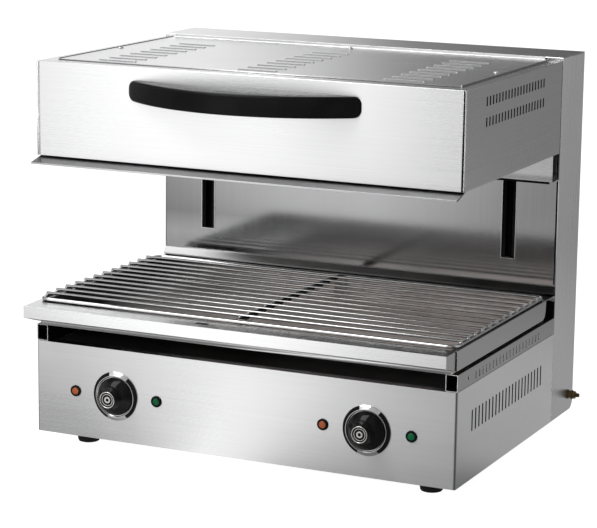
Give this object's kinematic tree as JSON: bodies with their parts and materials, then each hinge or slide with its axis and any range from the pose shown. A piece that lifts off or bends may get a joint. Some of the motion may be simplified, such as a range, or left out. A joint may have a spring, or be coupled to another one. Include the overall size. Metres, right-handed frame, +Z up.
{
  "type": "cheese melter",
  "caption": "Electric lift-hood salamander grill: a heater hood that slides on a rear column above a wire grid and drip tray, on a base with rotary controls.",
  "frame": {"origin": "on the worktop, under the centre of the footprint of base and column, which is also the centre of the four feet", "axes": "+X to the right seen from the front, +Y to the rear, where the column is, +Z up"},
  "size_m": [0.617, 0.524, 0.5221],
  "materials": {
    "stainless": "brushed stainless steel",
    "casing_steel": "mill-finish steel, inside the casing",
    "zinc": "zinc-plated steel",
    "reflector_sheet": "polished aluminised sheet",
    "black_enamel": "black enamel, semi-gloss",
    "dark_frame": "dark grey heat-resistant finish",
    "heating_tube": "oxidised alloy tube",
    "spring_steel": "oiled spring steel",
    "chrome": "bright chrome plating",
    "grid_wire": "chrome-plated wire",
    "handle_black": "black moulded phenolic, satin gloss",
    "knob_black": "black moulded phenolic, gloss",
    "badge_metal": "brushed aluminium disc",
    "rubber_black": "black rubber",
    "brass": "dull brass",
    "nylon": "natural nylon",
    "grey_plastic": "dark grey moulded plastic",
    "ivory_plastic": "ivory moulded plastic",
    "ceramic_white": "white steatite ceramic",
    "blanket": "mineral-fibre blanket",
    "lens_amber": "clear amber lens, unlit",
    "lens_green": "clear green lens, unlit",
    "gland_black": "black nylon"
  },
  "bodies": {
    "base": {"base_shell": "stainless", "base_bottom": "zinc", "base_deck": "black_enamel", "rail_left": "stainless", "rail_right": "stainless", "column_front": "stainless", "column_side_left": "stainless", "column_side_right": "stainless", "column_top": "stainless", "column_rear_cover": "stainless", "splash_strip": "stainless", "guide_left": "zinc", "guide_right": "zinc", "spring_hanger": "zinc", "spring_left": "spring_steel", "spring_right": "spring_steel", "regulator_left": "grey_plastic", "regulator_right": "grey_plastic", "bezel_left": "chrome", "bezel_right": "chrome", "pilot_housings": "knob_black", "pilot_lenses_amber": "lens_amber", "pilot_lenses_green": "lens_green", "terminal_block": "ivory_plastic", "cable_gland": "gland_black", "bonding_stud": "brass", "bonding_nuts": "brass", "feet": "rubber_black", "foot_screws": "zinc", "casing_screws": "zinc"},
    "hood": {"hood_front_panel": "stainless", "hood_side_left": "stainless", "hood_side_right": "stainless", "hood_top_cover": "stainless", "hood_rear_box": "casing_steel", "heater_frame": "dark_frame", "reflector": "reflector_sheet", "insulation": "blanket", "element_left": "heating_tube", "element_right": "heating_tube", "element_supports": "zinc", "element_bushings": "ceramic_white", "handle": "handle_black", "hood_screws": "zinc", "carriage_left": "zinc", "carriage_right": "zinc"},
    "roller_left_upper": {"roller_left_upper": "nylon"},
    "roller_left_lower": {"roller_left_lower": "nylon"},
    "roller_right_upper": {"roller_right_upper": "nylon"},
    "roller_right_lower": {"roller_right_lower": "nylon"},
    "knob_left": {"knob_left": "knob_black", "knob_badge_left": "badge_metal", "spindle_left": "zinc"},
    "knob_right": {"knob_right": "knob_black", "knob_badge_right": "badge_metal", "spindle_right": "zinc"},
    "tray": {"drip_tray": "stainless", "centre_rest": "black_enamel"},
    "grid": {"grid_frame": "grid_wire", "grid_wires": "grid_wire"}
  },
  "joints": [
    {"name": "hood_lift", "type": "slide", "parent": "base", "child": "hood", "axis": [0, 0, 1], "range_m": [-0.13, 0], "deforming": ["spring_left", "spring_right"]},
    {"name": "knob_left_turn", "type": "hinge", "parent": "base", "child": "knob_left", "pos_m": [-0.18, -0.225, 0.0815], "axis": [0, 1, 0], "range_deg": [0, 270]},
    {"name": "knob_right_turn", "type": "hinge", "parent": "base", "child": "knob_right", "pos_m": [0.18, -0.225, 0.0815], "axis": [0, 1, 0], "range_deg": [0, 270]},
    {"name": "tray_pull", "type": "slide", "parent": "base", "child": "tray", "axis": [0, -1, 0], "range_m": [0, 0.25]},
    {"name": "grid_lift", "type": "slide", "parent": "tray", "child": "grid", "axis": [0, 0, 1], "range_m": [0, 0.1]},
    {"name": "roller_left_upper_spin", "type": "hinge", "parent": "hood", "child": "roller_left_upper", "pos_m": [-0.23, 0.1483, 0.4821], "axis": [1, 0, 0], "range_deg": [-750, 10]},
    {"name": "roller_left_lower_spin", "type": "hinge", "parent": "hood", "child": "roller_left_lower", "pos_m": [-0.23, 0.1483, 0.3961], "axis": [1, 0, 0], "range_deg": [-10, 750]},
    {"name": "roller_right_upper_spin", "type": "hinge", "parent": "hood", "child": "roller_right_upper", "pos_m": [0.23, 0.1483, 0.4821], "axis": [1, 0, 0], "range_deg": [-750, 10]},
    {"name": "roller_right_lower_spin", "type": "hinge", "parent": "hood", "child": "roller_right_lower", "pos_m": [0.23, 0.1483, 0.3961], "axis": [1, 0, 0], "range_deg": [-10, 750]}
  ],
  "couplings": [
    {"joint": "roller_left_upper_spin", "follows": "hood_lift", "rad_per_m": 100},
    {"joint": "roller_left_lower_spin", "follows": "hood_lift", "rad_per_m": -100},
    {"joint": "roller_right_upper_spin", "follows": "hood_lift", "rad_per_m": 100},
    {"joint": "roller_right_lower_spin", "follows": "hood_lift", "rad_per_m": -100}
  ]
}
